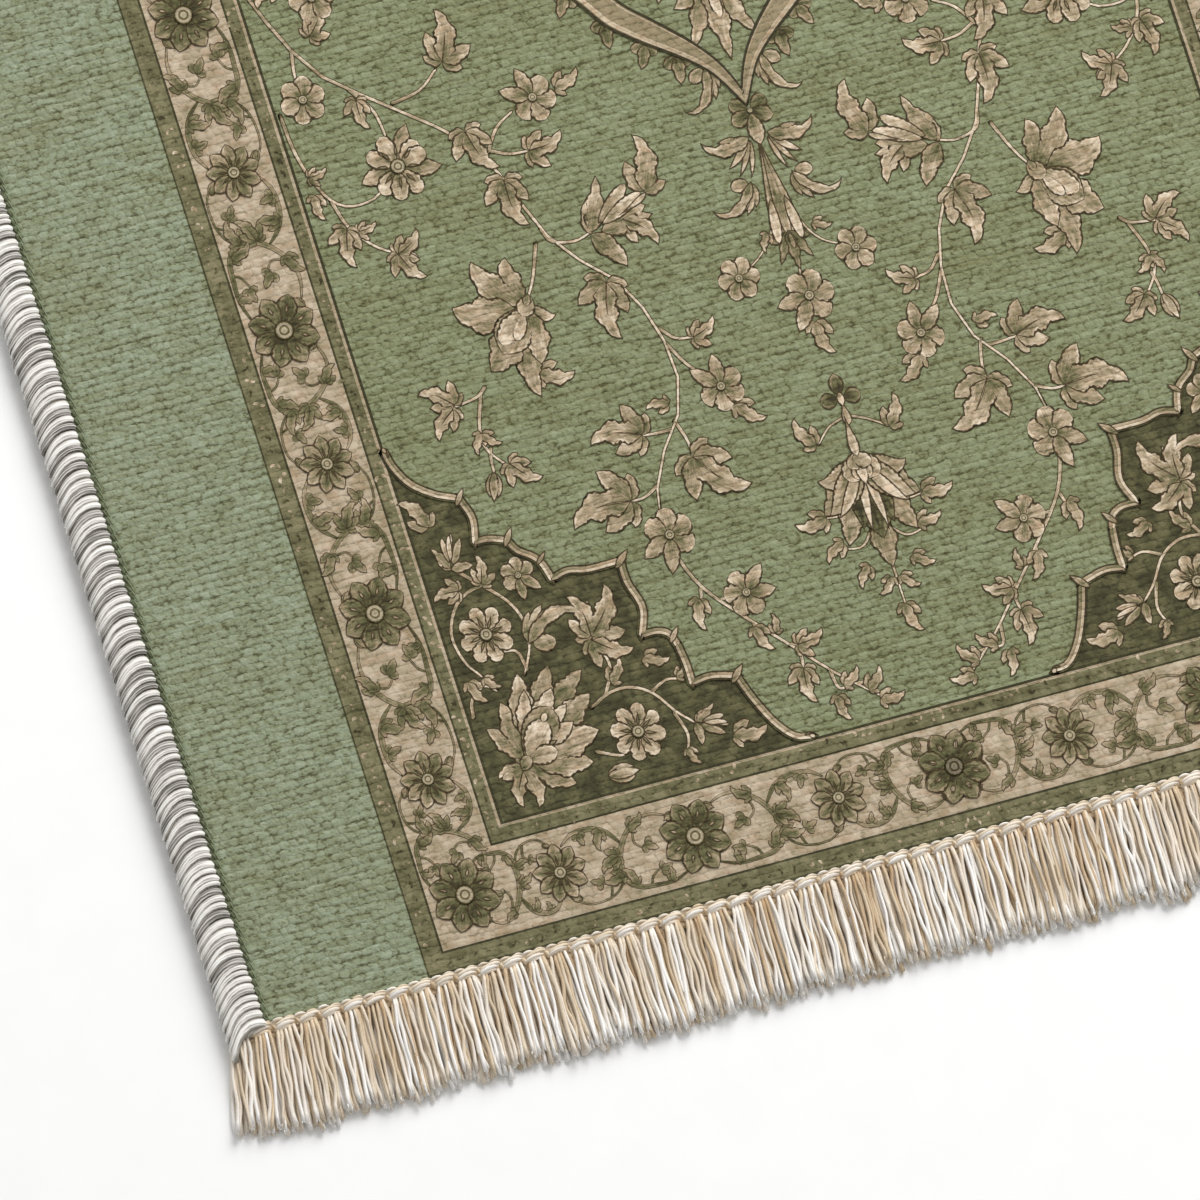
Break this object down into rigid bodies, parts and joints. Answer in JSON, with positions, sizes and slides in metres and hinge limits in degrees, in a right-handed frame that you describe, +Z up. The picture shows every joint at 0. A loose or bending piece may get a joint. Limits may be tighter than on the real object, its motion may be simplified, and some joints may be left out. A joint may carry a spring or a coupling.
{
  "type": "fringed chenille rug",
  "caption": "Flat rectangular woven chenille rug with a wrapped yarn binding along both long sides and a knotted fringe at both short ends.",
  "frame": {"origin": "middle of the rug's underside, on the surface it lies on", "axes": "+Z up from the surface, +Y along the rug's length from one fringe to the other, +X across its width"},
  "size_m": [0.7, 1.2, 0.01],
  "materials": {
    "chenille_cloth": "matt knobbly weave",
    "binding_yarn": "marled yarn, matt",
    "fringe_yarn": "cotton yarn, slight sheen"
  },
  "bodies": {
    "root": {"cloth": "chenille_cloth", "binding_left": "binding_yarn", "binding_right": "binding_yarn", "fringe_front": "fringe_yarn", "fringe_back": "fringe_yarn"}
  },
  "joints": []
}
